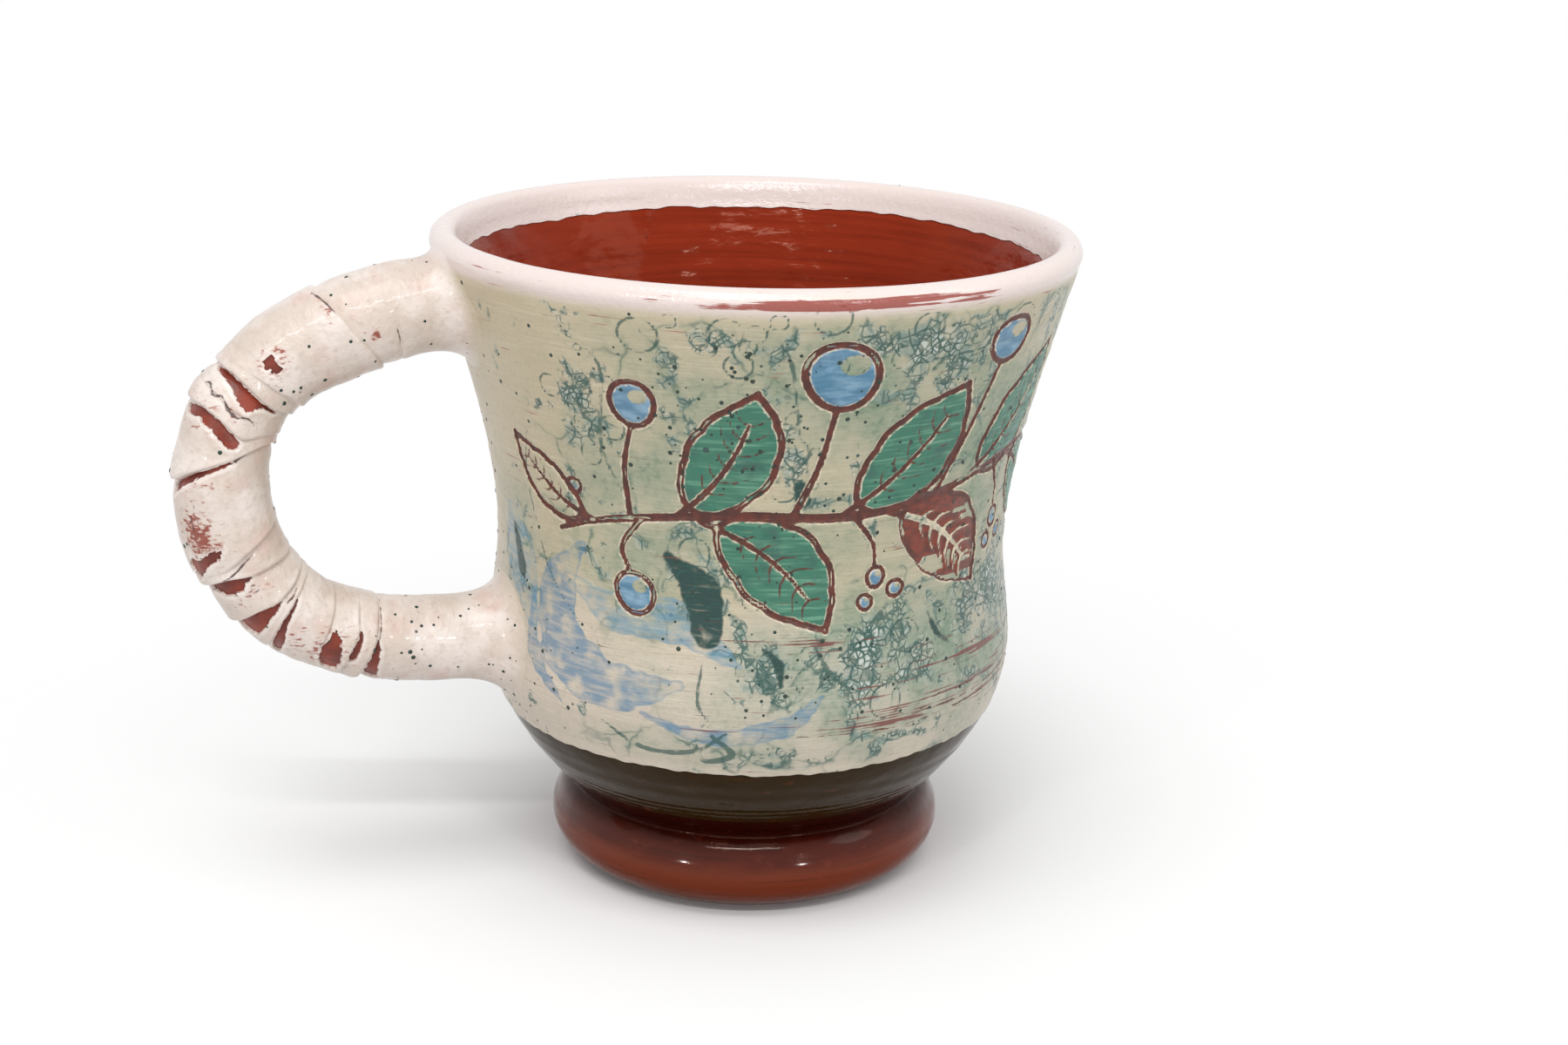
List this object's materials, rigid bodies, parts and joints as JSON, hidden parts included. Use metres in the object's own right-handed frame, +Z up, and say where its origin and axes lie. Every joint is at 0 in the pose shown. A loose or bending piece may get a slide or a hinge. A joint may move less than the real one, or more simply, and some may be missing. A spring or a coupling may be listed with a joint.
{
  "type": "jarrito clay mug",
  "caption": "Thrown red-clay mug with a flared rim, cream slip coat, glossy bare-clay inside, rolled foot and a creased coil handle.",
  "frame": {"origin": "centre of the foot's flat underside, on the cup's axis, at table height", "axes": "+Z up along the cup's axis, -X towards the handle, so the handle's plane is XZ"},
  "size_m": [0.1259, 0.09, 0.0926],
  "materials": {
    "red_clay": "unglazed red earthenware, fine-grained",
    "cream_slip": "cream slip under a clear gloss glaze, with fine brush lines",
    "red_glaze": "clear gloss glaze over bare red clay"
  },
  "bodies": {
    "root": {"cup_body": "red_clay", "foot_roll": "red_clay", "handle_coil": "red_clay", "upper_collar": "cream_slip", "lower_collar": "cream_slip", "body_slip": "cream_slip", "handle_slip": "cream_slip", "inner_glaze": "red_glaze", "foot_glaze": "red_glaze"}
  },
  "joints": []
}
